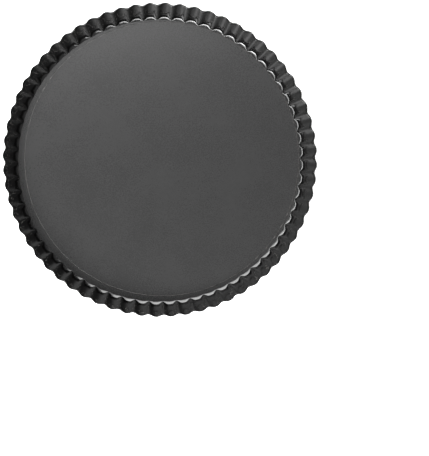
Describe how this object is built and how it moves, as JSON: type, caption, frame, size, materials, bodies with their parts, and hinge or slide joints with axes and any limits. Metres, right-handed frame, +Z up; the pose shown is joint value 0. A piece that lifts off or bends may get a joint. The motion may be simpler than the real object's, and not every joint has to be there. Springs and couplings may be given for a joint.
{
  "type": "tart pan",
  "caption": "Shallow round baking pan with a fluted, flared wall, a curled rim, a flat in-turned ledge and a loose base plate that lifts out.",
  "frame": {"origin": "on the pan's axis, at the underside of the ledge that the pan stands on", "axes": "+Z up along the pan's axis; +X and +Y level, each through a flute crest"},
  "size_m": [0.2522, 0.2522, 0.026],
  "materials": {
    "ring_coating": "satin non-stick coating",
    "base_coating": "satin non-stick coating"
  },
  "bodies": {
    "ring": {"fluted_ring": "ring_coating"},
    "base": {"loose_base": "base_coating"}
  },
  "joints": [
    {"name": "base_lift", "type": "slide", "parent": "ring", "child": "base", "axis": [0, 0, 1], "range_m": [0, 0.06]}
  ]
}
